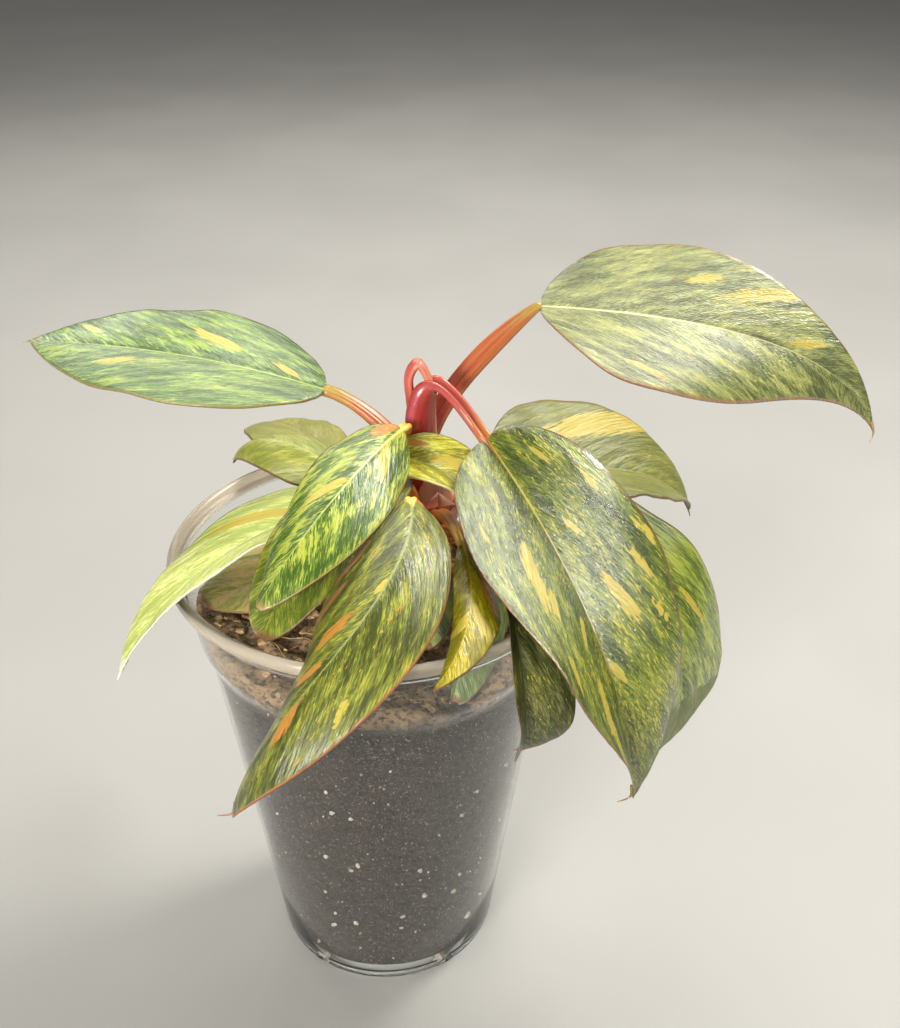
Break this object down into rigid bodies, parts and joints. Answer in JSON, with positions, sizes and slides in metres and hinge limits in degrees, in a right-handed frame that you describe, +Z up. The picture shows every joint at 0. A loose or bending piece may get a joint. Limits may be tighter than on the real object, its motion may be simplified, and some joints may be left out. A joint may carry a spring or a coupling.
{
  "type": "potted orange princess philodendron",
  "caption": "Young variegated philodendron with glossy green, lime and orange leaves in a clear plastic drinking cup of dark potting mix.",
  "frame": {"origin": "centre of the bounding box in plan, at the level of the foot of the cup", "axes": "+Z up; +X to the right as seen from the front, along the longest extent of the foliage; +Y to the back"},
  "size_m": [0.2058, 0.1544, 0.1786],
  "materials": {
    "cup_clear": "clear, glossy, slightly smoky",
    "potting_mix": "matte, crumbly, with white perlite and tan fibres",
    "crown_sheath": "satin red-brown, papery",
    "leaf_green": "glossy, variegated",
    "leaf_olive": "satin, variegated with orange",
    "leaf_lime": "satin, variegated with yellow",
    "leaf_gold": "satin, yellow-green",
    "petiole_red": "glossy red-brown",
    "petiole_gold": "satin orange-brown",
    "new_leaf_pink": "satin coral pink"
  },
  "bodies": {
    "root": {"cup": "cup_clear", "soil": "potting_mix", "crown_stem": "crown_sheath", "petiole_upper_left": "petiole_gold", "blade_upper_left": "leaf_green", "petiole_upper_right": "petiole_red", "blade_upper_right": "leaf_green", "petiole_front_right": "petiole_red", "blade_front_right": "leaf_green", "petiole_back_right": "petiole_gold", "blade_back_right": "leaf_lime", "petiole_right": "petiole_gold", "blade_right": "leaf_green", "petiole_rim_right": "petiole_gold", "blade_rim_right": "leaf_olive", "petiole_young_front": "petiole_gold", "blade_young_front": "leaf_gold", "petiole_front": "petiole_gold", "blade_front": "leaf_olive", "petiole_left_high": "petiole_gold", "blade_left_high": "leaf_lime", "petiole_left_low": "petiole_gold", "blade_left_low": "leaf_green", "petiole_left_long": "petiole_gold", "blade_left_long": "leaf_lime", "petiole_soil_left": "petiole_gold", "blade_soil_left": "leaf_lime", "petiole_back_left": "petiole_gold", "blade_back_left": "leaf_lime", "petiole_back": "petiole_gold", "blade_back": "leaf_lime", "petiole_centre": "petiole_gold", "blade_centre": "leaf_gold", "petiole_soil_right": "petiole_gold", "blade_soil_right": "leaf_green", "petiole_soil_front": "petiole_gold", "blade_soil_front": "leaf_olive", "new_leaf": "new_leaf_pink"}
  },
  "joints": []
}
